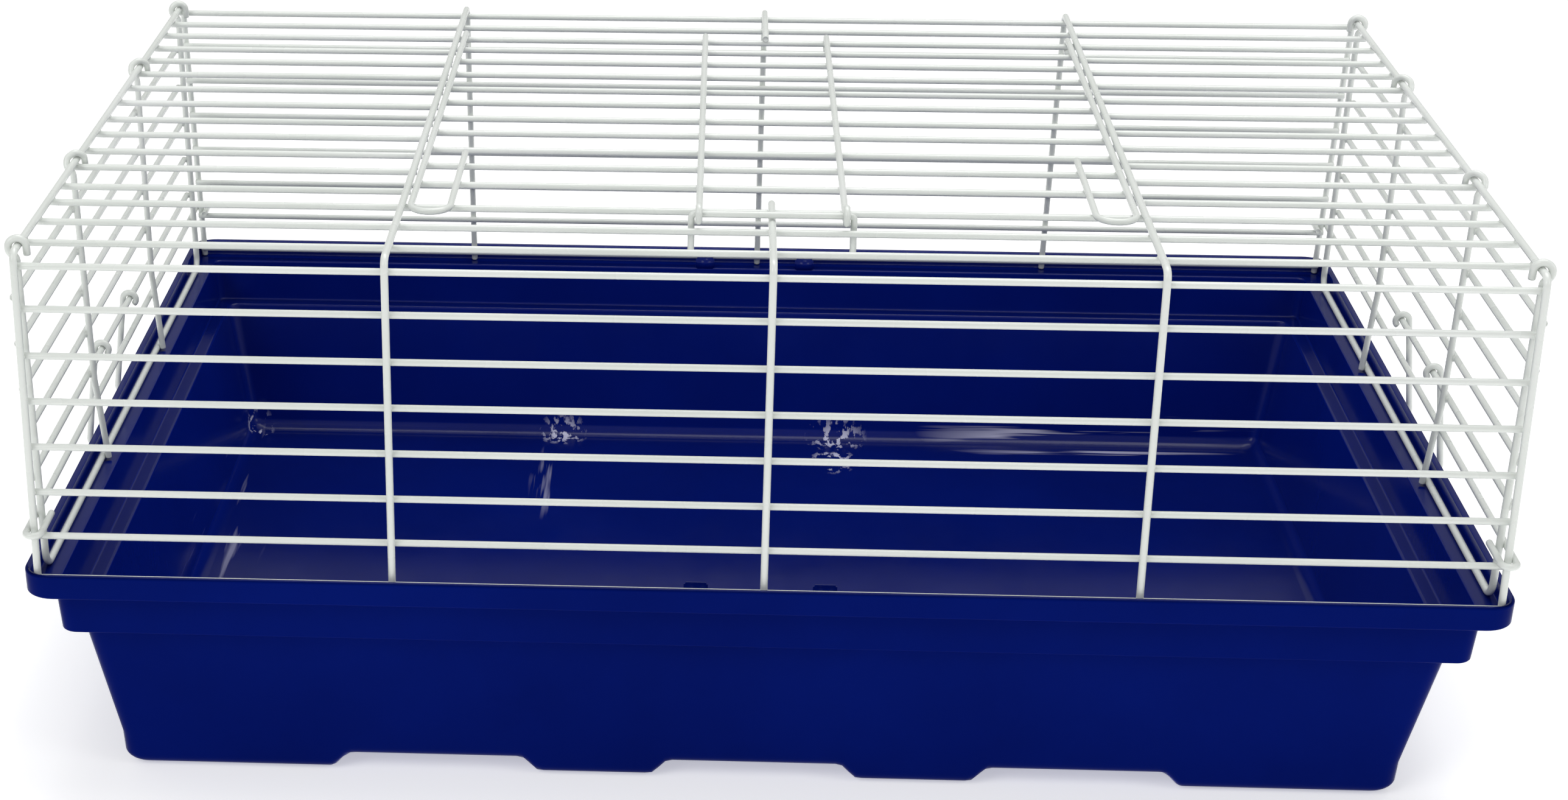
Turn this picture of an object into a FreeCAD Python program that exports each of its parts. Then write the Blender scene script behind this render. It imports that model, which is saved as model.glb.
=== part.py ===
import FreeCAD, Part
import math
import os

# Hamster cage: glossy moulded tray, lift-off welded wire top, hinged top door with a wire
# catch, and a hinged wire clip on each side.  Millimetres, +Z up, feet on z = 0, front is -Y.

os.makedirs("parts", exist_ok=True)

# ---- wire sizes (outside diameters, coating included) ----
HOOP_R = 1.4
WIRE_R = 1.3
FRAME_R = 1.4
CATCH_R = 1.25
WELD = 0.1
RUN_GAP = 0.25

# ---- tray ----
TRAY_X = 275.8
TRAY_Y = 182.8
LIP_TOP = 97.3
LIP_BOTTOM = 87.8
LIP_T = 2.7
LEDGE_TOP = 90.4
WALL_T = 2.5
COLLAR_IN = 9.4
COLLAR_BOTTOM = 68.3
WALL_TOP_IN = 17.0
WALL_BOT_IN = 28.2
FOOT_H = 6.2
FLOOR_TOP = 8.7
LIP_CORNER = 11.0
LIP_IN_CORNER = 5.5
COLLAR_CORNER = 6.0
WALL_CORNER = 7.0
BASE_ROUND = 7.0
FLOOR_ROUND = 6.0
TAB_X = 24.0
TAB_W = 9.0
TAB_T = 2.1
TAB_H = 5.1

# ---- wire top ----
END_X = 270.0
INNER_LEFT = -136.8
INNER_RIGHT = 139.0
MID_X = 1.2
TOP_Z = 216.1
TOP_HALF = 163.8
SPLAY = 11.3
PANEL_H = 125.1
HOOP_BEND = 4.0
TOP_FIRST = 163.4
TOP_PITCH = 20.64
TOP_COUNT = 16
FACE_PITCH = 17.3
FRONT_FIRST = 214.2
FRONT_COUNT = 8
REAR_FIRST = 199.1
REAR_COUNT = 7
OVERHANG = 0.9
# how far single wires sit off their even pitch, from the rear wire and from the highest wire
TOP_TRIM = (0.0, -1.9, 0.0, 0.0, 1.7, 2.4, 2.1, 2.0, 0.0, 1.0, 0.0, 0.9, -1.6, 0.9, 0.0, -1.8)
FRONT_TRIM = (-1.1, 0.3, 0.0, 0.0, -0.2, -0.5, -0.45)

# ---- side panels ----
SIDE_X = 270.1
SIDE_BOTTOM = LEDGE_TOP + FRAME_R + 0.05
POST_FRONT = -161.0
POST_REAR = 154.0
POST_FRONT_LEAN = 2.5
POST_REAR_LEAN = 3.0
POST_TRAVEL = 3.0
UPRIGHT_TRAVEL = 8.0
UPRIGHT_KNEE = 35.0
UPRIGHTS = ((-67.5, -63.0), (58.3, 55.0))
SIDE_FIRST = 200.0
SIDE_PITCH = 17.8
SIDE_COUNT = 5
HOOK_Z = 114.2
HOOK_RISE = 1.1
HOOK_R = 2.83

# ---- door ----
DOOR_HALF = 134.4
DOOR_MID = 27.0
DOOR_SHIFT = 1.3
DOOR_FRONT = -116.0
RETURN_GAP = 14.8
RETURN_END = -45.4
DOOR_COUNT = 10
DOOR_TRIM = (3.0, 5.5, 6.5, 5.8, 7.5, 6.5, 8.0, 6.5, 7.4, 5.9)

# ---- catch and clips ----
CATCH_Y = -122.2
CATCH_HALF = 29.8
CATCH_LEG = 15.0
CLIP_Y = -8.5
CLIP_HALF = 28.5
CLIP_REACH = 43.4
CLIP_TOE = 4.2
CLIP_LEAN = 7.8


def vec(x, y, z):
    return FreeCAD.Vector(x, y, z)


def rod(p, q, r):
    d = q.sub(p)
    return Part.makeCylinder(r, d.Length, p, d)


def arc3(center, start, end):
    mid = start.add(end).multiply(0.5).sub(center)
    mid.normalize()
    mid.multiply(start.sub(center).Length)
    return Part.Arc(start, center.add(mid), end).toShape()


def bent_edges(points, radii):
    edges = []
    last = points[0]
    for i in range(1, len(points) - 1):
        corner = points[i]
        a = points[i - 1].sub(corner)
        b = points[i + 1].sub(corner)
        a.normalize()
        b.normalize()
        half = a.getAngle(b) / 2.0
        radius = radii[i - 1]
        run = radius / math.tan(half)
        p = corner.add(vec(a.x * run, a.y * run, a.z * run))
        q = corner.add(vec(b.x * run, b.y * run, b.z * run))
        bis = a.add(b)
        bis.normalize()
        dist = radius / math.sin(half)
        center = corner.add(vec(bis.x * dist, bis.y * dist, bis.z * dist))
        if p.sub(last).Length > 0.001:
            edges.append(Part.makeLine(last, p))
        edges.append(arc3(center, p, q))
        last = q
    edges.append(Part.makeLine(last, points[-1]))
    return edges


def sweep(edges, r):
    path = Part.Wire(edges)
    first = edges[0]
    start = first.valueAt(first.FirstParameter)
    tangent = first.tangentAt(first.FirstParameter)
    ring = Part.Wire(Part.makeCircle(r, start, tangent))
    shape = path.makePipeShell([ring], True, False)
    if not shape.isValid():
        shape.fix(0.01, 0.01, 0.01)
    return shape


def bent_rod(points, bend, r):
    radii = [bend] * (len(points) - 2)
    return sweep(bent_edges(points, radii), r)


def export(name, solids):
    shape = solids[0] if len(solids) == 1 else Part.makeCompound(solids)
    shape.exportStep("parts/" + name + ".step")


# ---------------------------------------------------------------- tray

def ring_wire(inset, z, corner):
    hx = TRAY_X - inset
    hy = TRAY_Y - inset
    c = corner
    k = c * (1.0 - math.sqrt(0.5))
    edges = []
    edges.append(Part.makeLine(vec(-hx + c, -hy, z), vec(hx - c, -hy, z)))
    edges.append(Part.Arc(vec(hx - c, -hy, z), vec(hx - k, -hy + k, z), vec(hx, -hy + c, z)).toShape())
    edges.append(Part.makeLine(vec(hx, -hy + c, z), vec(hx, hy - c, z)))
    edges.append(Part.Arc(vec(hx, hy - c, z), vec(hx - k, hy - k, z), vec(hx - c, hy, z)).toShape())
    edges.append(Part.makeLine(vec(hx - c, hy, z), vec(-hx + c, hy, z)))
    edges.append(Part.Arc(vec(-hx + c, hy, z), vec(-hx + k, hy - k, z), vec(-hx, hy - c, z)).toShape())
    edges.append(Part.makeLine(vec(-hx, hy - c, z), vec(-hx, -hy + c, z)))
    edges.append(Part.Arc(vec(-hx, -hy + c, z), vec(-hx + k, -hy + k, z), vec(-hx + c, -hy, z)).toShape())
    return Part.Wire(edges)


def stack(levels):
    wires = [ring_wire(inset, z, corner) for inset, z, corner in levels]
    body = None
    for low, high in zip(wires, wires[1:]):
        piece = Part.makeLoft([low, high], True, True)
        body = piece if body is None else body.fuse(piece)
    return body


def wall_inset(z):
    t = z / COLLAR_BOTTOM
    return WALL_BOT_IN + (WALL_TOP_IN - WALL_BOT_IN) * t


def rounded_base(z0, r, extra, corner, top):
    levels = []
    steps = 5
    for i in range(steps + 1):
        a = math.pi / 2.0 * (0.12 + 0.88 * i / steps)
        z = z0 + r * (1.0 - math.cos(a)) if i else z0
        levels.append((wall_inset(z0 + r) + extra + r * (1.0 - math.sin(a)), z, corner))
    levels.append((wall_inset(top) + extra, top, corner))
    return levels


def foot_block(x0, x1, y0, y1):
    lead = 7.5
    pts = [
        vec(x0 - lead, y0, FOOT_H + 4.0), vec(x0 - lead, y0, FOOT_H), vec(x0, y0, 0.0),
        vec(x1, y0, 0.0), vec(x1 + lead, y0, FOOT_H), vec(x1 + lead, y0, FOOT_H + 4.0)]
    face = Part.Face(Part.makePolygon(pts + [pts[0]]))
    block = face.extrude(vec(0.0, y1 - y0, 0.0))
    low = [e for e in block.Edges if e.BoundBox.ZMax < 0.01 and e.BoundBox.YLength > 1.0]
    return block.makeFillet(5.0, low)


def make_tray():
    inner_step = COLLAR_BOTTOM + WALL_T
    outer = stack(rounded_base(FOOT_H, BASE_ROUND, 0.0, WALL_CORNER, COLLAR_BOTTOM))
    collar = stack([(COLLAR_IN + 1.1, COLLAR_BOTTOM, COLLAR_CORNER), (COLLAR_IN, LIP_BOTTOM + 0.5, COLLAR_CORNER)])
    lip = stack([
        (0.7, LIP_BOTTOM, LIP_CORNER - 0.7), (0.0, LIP_BOTTOM + 0.9, LIP_CORNER),
        (0.0, LIP_TOP - 1.0, LIP_CORNER), (0.7, LIP_TOP, LIP_CORNER - 0.7)])
    body = outer.fuse(collar).fuse(lip)
    base = stack(rounded_base(0.0, BASE_ROUND, 0.0, WALL_CORNER, FOOT_H + 8.0))
    deep = 70.0
    far = TRAY_Y
    for x0, x1, depth in ((-300.0, -167.0, deep), (-84.0, -41.0, 26.0), (41.0, 84.0, 26.0), (167.0, 300.0, deep)):
        edge_in = TRAY_Y - WALL_BOT_IN - depth
        for sy in (-1, 1):
            low = edge_in if sy > 0 else -far
            block = foot_block(x0, x1, low, low + far - edge_in)
            body = body.fuse(block.common(base))
    gutter = stack([
        (LIP_T, LEDGE_TOP, LIP_IN_CORNER), (LIP_T, LIP_TOP - 0.8, LIP_IN_CORNER),
        (LIP_T - 0.8, LIP_TOP + 0.2, LIP_IN_CORNER + 0.8)])
    t = WALL_T
    throat = stack([
        (COLLAR_IN + t + 1.1, inner_step, COLLAR_CORNER - t),
        (COLLAR_IN + t + 0.1, LEDGE_TOP - 0.8, COLLAR_CORNER - t),
        (COLLAR_IN + t - 0.6, LEDGE_TOP + 0.5, COLLAR_CORNER - t + 0.6)])
    well = stack(rounded_base(FLOOR_TOP, FLOOR_ROUND, t, WALL_CORNER - t, inner_step + 0.2))
    body = body.cut(gutter).cut(throat).cut(well)
    tab_y = TRAY_Y - COLLAR_IN - 0.4
    for sx in (-1, 1):
        for sy in (-1, 1):
            y0 = tab_y - TAB_T if sy > 0 else -tab_y
            x0 = sx * TAB_X - TAB_W / 2.0
            tab = Part.makeBox(TAB_W, TAB_T, TAB_H + 1.2, vec(x0, y0, LEDGE_TOP - 1.2))
            tall = [e for e in tab.Edges if e.BoundBox.ZMin > LEDGE_TOP + 1.0 and e.BoundBox.YLength > 1.0]
            body = body.fuse(tab.makeFillet(1.0, tall))
    return body.removeSplitter()


# ---------------------------------------------------------------- bent panel

HOOP_OFF = HOOP_R + WIRE_R - WELD
FIRST_TOP_Y = TOP_HALF - 3.3
LEAN = math.atan2(SPLAY, PANEL_H)
HOOP_TOP = TOP_Z + HOOP_OFF


def face_y(z):
    return TOP_HALF + SPLAY * (TOP_Z - z) / PANEL_H


def hoop_y(z):
    return face_y(z) + HOOP_OFF / math.cos(LEAN)


def hoop(x):
    foot = LEDGE_TOP + 0.3
    pts = [
        vec(x, -hoop_y(foot), foot), vec(x, -hoop_y(HOOP_TOP), HOOP_TOP),
        vec(x, hoop_y(HOOP_TOP), HOOP_TOP), vec(x, hoop_y(foot), foot)]
    return bent_rod(pts, HOOP_BEND, HOOP_R)


def top_y(i):
    return FIRST_TOP_Y if i == 0 else TOP_FIRST - i * TOP_PITCH + TOP_TRIM[i]


def front_z(i):
    return FRONT_FIRST - i * FACE_PITCH + FRONT_TRIM[i] if i < FRONT_COUNT - 1 else LEDGE_TOP + WIRE_R + 1.4


def door_wire_y(i):
    return TOP_FIRST - (3 + i) * TOP_PITCH + DOOR_TRIM[i]


def half_rod(x, side, y_end):
    foot = LEDGE_TOP + 0.3
    pts = [
        vec(x, side * hoop_y(foot), foot), vec(x, side * hoop_y(HOOP_TOP), HOOP_TOP),
        vec(x, y_end, HOOP_TOP)]
    return bent_rod(pts, HOOP_BEND, HOOP_R)


def cross(x0, x1, y, z):
    return rod(vec(x0, y, z), vec(x1, y, z), WIRE_R)


def make_panel():
    reach = END_X + OVERHANG
    export("hoop_end_left", [hoop(-END_X)])
    export("hoop_end_right", [hoop(END_X)])
    export("hoop_inner_left", [hoop(INNER_LEFT)])
    export("hoop_inner_right", [hoop(INNER_RIGHT)])
    export("rod_front_centre", [half_rod(MID_X, -1, top_y(13) + 3.4)])
    export("rod_rear_centre", [half_rod(MID_X, 1, top_y(2) - 2.6)])
    front = []
    for i in range(FRONT_COUNT):
        z = front_z(i)
        front.append(cross(-reach, reach, -face_y(z), z))
    export("wires_front", front)
    rear = []
    for i in range(REAR_COUNT):
        z = REAR_FIRST - i * FACE_PITCH if i < REAR_COUNT - 1 else LEDGE_TOP + WIRE_R + 3.6
        rear.append(cross(-reach, reach, face_y(z), z))
    export("wires_rear", rear)
    export("wires_top_rear", [cross(-reach, reach, top_y(i), TOP_Z) for i in range(0, 3)])
    export("wires_top_front", [cross(-reach, reach, top_y(i), TOP_Z) for i in range(13, TOP_COUNT)])
    export("wires_top_left", [cross(-reach, INNER_LEFT + 0.8, top_y(i), TOP_Z) for i in range(3, 13)])
    export("wires_top_right", [cross(INNER_RIGHT - 0.9, reach, top_y(i), TOP_Z) for i in range(3, 13)])


# ---------------------------------------------------------------- side panels

def curl_points(side, x_leg, y0, travel, r):
    rc = HOOP_R + r + RUN_GAP
    start = math.radians(300.0)
    sx = END_X + rc * math.cos(start)
    sz = HOOP_TOP + rc * math.sin(start)
    back = (sx - x_leg) / math.sin(math.radians(60.0))
    pts = [vec(side * x_leg, y0, sz - back * 0.5)]
    radii = [2.0]
    out = rc / math.cos(math.radians(30.0))
    for k in range(4):
        a = start + math.radians(30.0 + 60.0 * k)
        y = y0 + travel * (1.0 + 2.0 * k) / 8.0
        pts.append(vec(side * (END_X + out * math.cos(a)), y, HOOP_TOP + out * math.sin(a)))
        radii.append(rc)
    pts.append(vec(side * (END_X - rc), y0 + travel, HOOP_TOP - 3.6))
    return pts, radii


def side_frame(side):
    x = side * SIDE_X
    front, radii = curl_points(side, SIDE_X, POST_FRONT, POST_TRAVEL, FRAME_R)
    rear, rear_radii = curl_points(side, SIDE_X, POST_REAR, POST_TRAVEL, FRAME_R)
    low = [
        vec(x, POST_FRONT - POST_FRONT_LEAN, SIDE_BOTTOM),
        vec(x, POST_REAR + POST_REAR_LEAN, SIDE_BOTTOM)]
    pts = list(reversed(front)) + low + rear
    return sweep(bent_edges(pts, list(reversed(radii)) + [6.0, 6.0] + rear_radii), FRAME_R)


def side_upright(side, y_top, y_bottom):
    x_leg = SIDE_X + FRAME_R - WIRE_R
    curl, radii = curl_points(side, x_leg, y_top, UPRIGHT_TRAVEL, WIRE_R)
    xi = side * (SIDE_X - FRAME_R - WIRE_R + WELD - 0.06)
    bend_z = SIDE_BOTTOM + UPRIGHT_KNEE
    t = (bend_z - SIDE_BOTTOM) / (curl[0].z - SIDE_BOTTOM)
    knee = vec(side * x_leg, y_bottom + (y_top - y_bottom) * t, bend_z)
    pts = [vec(xi, y_bottom, LEDGE_TOP + 0.9), knee] + curl
    return sweep(bent_edges(pts, [20.0] + radii), WIRE_R)


def hook_wire(side):
    z0 = HOOK_Z - HOOK_RISE
    z1 = HOOK_Z + HOOK_RISE
    xo = SIDE_X + FRAME_R + WIRE_R - WELD
    xi = xo - 2.0 * HOOK_R
    f = -hoop_y(z0)
    r = hoop_y(z1)
    pts = [
        vec(side * xi, f + 15.5, z0), vec(side * xi, f - 4.8, z0), vec(side * xo, f - 4.8, z0),
        vec(side * xo, r + 4.8, z1), vec(side * xi, r + 4.8, z1), vec(side * xi, r - 8.5, z1)]
    bend = HOOK_R - 0.02
    return sweep(bent_edges(pts, [bend] * 4), WIRE_R)


def make_sides():
    xo = SIDE_X + FRAME_R + WIRE_R - WELD
    for name, side in (("left", -1), ("right", 1)):
        export("side_frame_" + name, [side_frame(side)])
        export("side_uprights_" + name, [side_upright(side, a, b) for a, b in UPRIGHTS])
        wires = []
        for i in range(SIDE_COUNT):
            z = SIDE_FIRST - i * SIDE_PITCH
            t = (SIDE_FIRST + 14.0 - z) / (SIDE_FIRST + 14.0 - SIDE_BOTTOM)
            y0 = POST_FRONT - POST_FRONT_LEAN * t - OVERHANG
            y1 = POST_REAR + POST_REAR_LEAN * t + OVERHANG
            wires.append(rod(vec(side * xo, y0, z), vec(side * xo, y1, z), WIRE_R))
        export("side_wires_" + name, wires)
        export("side_hook_" + name, [hook_wire(side)])


# ---------------------------------------------------------------- door and catch

DOOR_Z = TOP_Z + 2.0 * WIRE_R + RUN_GAP
CATCH_Z = DOOR_Z + WIRE_R + CATCH_R + 0.3


def hinge_arc(x, r):
    rc = DOOR_Z - TOP_Z
    y0 = top_y(2)
    end = math.radians(-150.0)
    a = vec(x, y0 + rc * math.cos(end), TOP_Z + rc * math.sin(end))
    m = math.radians(-30.0)
    mid = vec(x, y0 + rc * math.cos(m), TOP_Z + rc * math.sin(m))
    return Part.Arc(a, mid, vec(x, y0, DOOR_Z)).toShape()


def door_side_rod(side):
    x = DOOR_SHIFT - 0.2 + side * DOOR_HALF
    xr = x - side * RETURN_GAP
    arc = hinge_arc(x, WIRE_R)
    pts = [
        vec(x, top_y(2), DOOR_Z), vec(x, DOOR_FRONT, DOOR_Z), vec(xr, DOOR_FRONT, DOOR_Z),
        vec(xr, RETURN_END, DOOR_Z)]
    bend = RETURN_GAP / 2.0 - 0.02
    return sweep([arc] + bent_edges(pts, [bend, bend]), WIRE_R)


def door_mid_rod(side):
    x = DOOR_SHIFT + side * DOOR_MID
    rc = CATCH_Z - DOOR_Z
    end = math.radians(55.0)
    mid = math.radians(180.0)
    eye = Part.Arc(
        vec(x, CATCH_Y, DOOR_Z),
        vec(x, CATCH_Y + rc * math.cos(mid), CATCH_Z + rc * math.sin(mid)),
        vec(x, CATCH_Y + rc * math.cos(end), CATCH_Z + rc * math.sin(end))).toShape()
    line = Part.makeLine(vec(x, top_y(2), DOOR_Z), vec(x, CATCH_Y, DOOR_Z))
    return sweep([hinge_arc(x, WIRE_R), line, eye], WIRE_R)


def make_door():
    export("door_side_rods", [door_side_rod(-1), door_side_rod(1)])
    export("door_mid_rods", [door_mid_rod(-1), door_mid_rod(1)])
    z = DOOR_Z - 2.0 * WIRE_R + WELD
    x0 = DOOR_SHIFT - DOOR_HALF - 0.8
    x1 = DOOR_SHIFT + DOOR_HALF + 0.8
    export("door_wires", [cross(x0, x1, door_wire_y(i), z) for i in range(DOOR_COUNT)])
    xl = DOOR_SHIFT - CATCH_HALF
    xr = DOOR_SHIFT + CATCH_HALF
    tip = CATCH_Z - CATCH_LEG
    pts = [vec(xl, CATCH_Y, tip), vec(xl, CATCH_Y, CATCH_Z), vec(xr, CATCH_Y, CATCH_Z), vec(xr, CATCH_Y, tip)]
    export("door_catch", [bent_rod(pts, 1.5, CATCH_R)])


# ---------------------------------------------------------------- side clips

def make_clips():
    px = SIDE_X + FRAME_R + WIRE_R - WELD
    pz = SIDE_FIRST - (SIDE_COUNT - 1) * SIDE_PITCH
    rc = 2.0 * WIRE_R + RUN_GAP
    for name, side in (("left", -1), ("right", 1)):
        lean = math.radians(CLIP_LEAN)
        ax = math.sin(lean)
        az = -math.cos(lean)
        nx = math.cos(lean)
        nz = math.sin(lean)

        def at(down, out, y):
            return vec(side * (px + ax * down + nx * out), y, pz + az * down + nz * out)

        y0 = CLIP_Y - CLIP_HALF
        y1 = CLIP_Y + CLIP_HALF
        toe = rc - CLIP_TOE
        legs = [at(0.0, rc, y0), at(CLIP_REACH, rc, y0), at(CLIP_REACH, toe, y0)]
        legs = legs + [at(CLIP_REACH, toe, y1), at(CLIP_REACH, rc, y1), at(0.0, rc, y1)]
        edges = bent_edges(legs, [2.0, 2.0, 2.0, 2.0])
        m = math.sqrt(0.5) * rc
        first = Part.Arc(at(m, -m, y0), at(-m, -m, y0), at(0.0, rc, y0)).toShape()
        last = Part.Arc(at(0.0, rc, y1), at(-m, -m, y1), at(m, -m, y1)).toShape()
        export("clip_" + name, [sweep([first] + edges + [last], WIRE_R)])


export("tray", [make_tray()])
make_panel()
make_sides()
make_door()
make_clips()
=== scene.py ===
import math

import bmesh
import bpy
from mathutils import Euler, Matrix, Vector


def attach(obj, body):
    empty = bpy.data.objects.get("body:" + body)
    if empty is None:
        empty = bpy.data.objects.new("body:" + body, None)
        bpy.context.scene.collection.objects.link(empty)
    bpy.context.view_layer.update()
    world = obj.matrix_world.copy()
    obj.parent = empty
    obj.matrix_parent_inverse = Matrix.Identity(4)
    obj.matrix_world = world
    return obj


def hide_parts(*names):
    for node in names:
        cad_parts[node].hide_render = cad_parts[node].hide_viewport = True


# Hamster cage: glossy moulded tray, lift-off welded wire top, hinged roof door with a wire
# catch, and a wire clip on each side.  Lengths are in mm until a vertex is made.

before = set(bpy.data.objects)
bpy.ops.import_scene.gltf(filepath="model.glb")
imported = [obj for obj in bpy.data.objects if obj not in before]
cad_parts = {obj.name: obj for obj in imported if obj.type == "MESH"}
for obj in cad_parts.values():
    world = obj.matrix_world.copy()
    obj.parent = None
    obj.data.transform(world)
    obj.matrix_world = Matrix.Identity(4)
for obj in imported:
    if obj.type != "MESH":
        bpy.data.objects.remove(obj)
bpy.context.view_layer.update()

MM = 0.001

# ---- how finely round bars are drawn ----
SAME_POINT = 1e-4
TURN_LEAST = 4
RING_SIDES = 20
TURN_STEP = 0.16
RUN_STEP = 12.0
DOME_REACH = 0.45
DOME_STEPS = 3
DOME_OFFSET = 0.6
DOME_TIP = 0.25
HINGE_STEPS = 24
EYE_STEPS = 22
BEAD = (1.38, 1.38, 0.8)

# ---- wire radii with the coating, and the overlaps and gaps between wires ----
HOOP_R = 1.4
WIRE_R = 1.3
FRAME_R = 1.4
CATCH_R = 1.25
WELD = 0.1
RUN_GAP = 0.25
SNUG = 0.02

# ---- tray ----
FAR = 400.0
TRAY_X = 275.8
TRAY_Y = 182.8
LIP_TOP = 97.3
LIP_BOTTOM = 87.8
LIP_T = 2.7
LEDGE_TOP = 90.4
WALL_T = 2.5
COLLAR_IN = 9.4
COLLAR_TAPER = 1.1
COLLAR_BOTTOM = 68.3
WALL_TOP_IN = 17.0
WALL_BOT_IN = 28.2
FOOT_H = 6.2
FLOOR_TOP = 8.7
LIP_CORNER = 11.0
LIP_IN_CORNER = 5.5
COLLAR_CORNER = 6.0
THROAT_CORNER = 3.5
THROAT_STEP = 0.1
WALL_CORNER = 7.0
WELL_CORNER = 4.5
FLAT_CORNER = 6.0
FLAT_IN = 150.0
FLOOR_ROUND = 6.5
BASE_ROUND = 6.6
BASE_TOP = 14.0
FOOT_DEPTH = 24.0
FOOT_FADE = 30.0
FOOT_CORNER = 8.0
FOOT_SLOPE = 8.0
FEET_X = ((167.0, FAR), (41.0, 84.0))
FEET_Y = ((90.0, FAR),)
FEET_BAND = 34.0
FEET_END = 12.0
LONG_STEPS = 180
SHORT_STEPS = 110
CORNER_STEPS = 10
TAB_X = 24.0
TAB_W = 9.0
TAB_T = 2.1
TAB_H = 5.1
TAB_SUNK = 1.2
TAB_BACK = 0.4
TAB_ROUND = 0.7

# ---- wire top ----
END_X = 270.0
INNER_LEFT = -136.8
INNER_RIGHT = 139.0
MID_X = 1.2
TOP_Z = 216.1
TOP_HALF = 163.8
SPLAY = 11.3
PANEL_H = 125.1
HOOP_BEND = 4.0
HOOP_LIFT = 0.3
FIRST_IN = 3.3
TOP_FIRST = 163.4
TOP_PITCH = 20.64
REAR_BARS = range(0, 3)
DOOR_BARS = range(3, 13)
FRONT_BARS = range(13, 16)
HINGE_BAR = 2
FACE_PITCH = 17.3
FRONT_FIRST = 214.2
FRONT_LOW = 1.4
REAR_FIRST = 199.1
REAR_EVEN = 6
REAR_LOW = 3.6
OVERHANG = 0.9
SHORT_PAST_LEFT = 0.8
SHORT_PAST_RIGHT = 0.9
ROD_PAST_FRONT = 3.4
ROD_PAST_REAR = 2.6
# how far single wires sit off their even pitch, from the rear wire and from the highest wire
TOP_TRIM = (0.0, -1.9, 0.0, 0.0, 1.7, 2.4, 2.1, 2.0, 0.0, 1.0, 0.0, 0.9, -1.6, 0.9, 0.0, -1.8)
FRONT_TRIM = (-1.1, 0.3, 0.0, 0.0, -0.2, -0.5, -0.45)

# ---- side panels ----
SIDE_X = 270.1
SIDE_LIFT = 0.05
SIDE_BOTTOM = LEDGE_TOP + FRAME_R + SIDE_LIFT
SIDE_CORNER = 6.0
POST_FRONT = -161.0
POST_REAR = 154.0
POST_FRONT_LEAN = 2.5
POST_REAR_LEAN = 3.0
POST_TRAVEL = 3.0
UPRIGHTS = ((-67.5, -63.0), (58.3, 55.0))
UPRIGHT_TRAVEL = 8.0
UPRIGHT_KNEE = 35.0
UPRIGHT_DROP = 9.0
KNEE_BEND = 20.0
FOOT_IN = 0.06
FOOT_LIFT = 0.9
SIDE_FIRST = 200.0
SIDE_ABOVE = 14.0
SIDE_PITCH = 17.8
SIDE_COUNT = 5
HOOK_Z = 114.2
HOOK_RISE = 1.1
HOOK_R = 2.83
HOOK_PAST = 4.8
HOOK_FRONT_END = 15.5
HOOK_REAR_END = 8.5
CURL_CORNERS = 4
CURL_START = 300.0
CURL_TURN = 60.0
CURL_TAIL = 3.6
CURL_NECK = 2.0

# ---- door, catch and clips ----
DOOR_HALF = 134.4
DOOR_MID = 27.0
DOOR_SHIFT = 1.3
DOOR_SIDE_SHIFT = 1.1
DOOR_FRONT = -116.0
DOOR_PAST = 0.8
RETURN_GAP = 14.8
RETURN_END = -45.4
RETURN_CLEAR = 2.0
DOOR_TRIM = (3.0, 5.5, 6.5, 5.8, 7.5, 6.5, 8.0, 6.5, 7.4, 5.9)
CATCH_Y = -122.2
CATCH_HALF = 29.8
CATCH_LEG = 15.0
CATCH_BEND = 1.5
CATCH_GAP = 0.3
# degrees from +Y round a line along X, and for a clip from its outward side
HINGE_OPEN = -150.0
HINGE_TOP = 90.0
EYE_LEG = 270.0
CATCH_EYE_END = 55.0
CLIP_EYE_END = 45.0
CLIP_Y = -8.5
CLIP_HALF = 28.5
CLIP_REACH = 43.4
CLIP_TOE = 4.2
CLIP_LEAN = 7.8
CLIP_BEND = 2.0

HOOP_OFF = HOOP_R + WIRE_R - WELD
HOOP_TOP = TOP_Z + HOOP_OFF
HOOP_FOOT = LEDGE_TOP + HOOP_LIFT
LEAN = math.atan2(SPLAY, PANEL_H)
DOOR_Z = TOP_Z + 2.0 * WIRE_R + RUN_GAP
CATCH_Z = DOOR_Z + WIRE_R + CATCH_R + CATCH_GAP
SIDE_OUT = SIDE_X + FRAME_R + WIRE_R - WELD
SIDE_LEVELS = [SIDE_FIRST - i * SIDE_PITCH for i in range(SIDE_COUNT)]


# ---------------------------------------------------------------- sweeping round wire

def rounded(points, bend):
    """The route through points with every corner on an arc. bend is one radius, or one a corner."""
    pts = [Vector(p) for p in points]
    out = [pts[0]]
    for i in range(1, len(pts) - 1):
        radius = bend[i - 1] if isinstance(bend, list) else bend
        corner = pts[i]
        back = (pts[i - 1] - corner).normalized()
        on = (pts[i + 1] - corner).normalized()
        half = back.angle(on) / 2.0
        run = radius / math.tan(half)
        center = corner + (back + on).normalized() * (radius / math.sin(half))
        u = (corner + back * run - center).normalized()
        w = corner + on * run - center
        v = (w - u * w.dot(u)).normalized()
        turn = math.pi - 2.0 * half
        steps = max(TURN_LEAST, int(turn / TURN_STEP))
        for k in range(steps + 1):
            a = turn * k / steps
            out.append(center + (u * math.cos(a) + v * math.sin(a)) * radius)
    out.append(pts[-1])
    return out


def spread(points):
    """Adds points on the long straight runs."""
    out = [points[0]]
    for a, b in zip(points, points[1:]):
        n = max(1, int((b - a).length / RUN_STEP))
        out += [a.lerp(b, k / n) for k in range(1, n + 1)]
    return out


def domed_end(end, inward, r, along):
    """Stations of a softly domed bar end, from its tip inward."""
    out = []
    for k in range(DOME_STEPS):
        rise = math.sin(math.pi / 2.0 * (k + DOME_OFFSET) / (DOME_STEPS + DOME_OFFSET))
        place = end + inward * DOME_REACH * r * (1.0 - rise)
        out.append((place, r * (DOME_TIP + (1.0 - DOME_TIP) * rise), along))
    out.append((end + inward * DOME_REACH * r, r, along))
    return out


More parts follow.
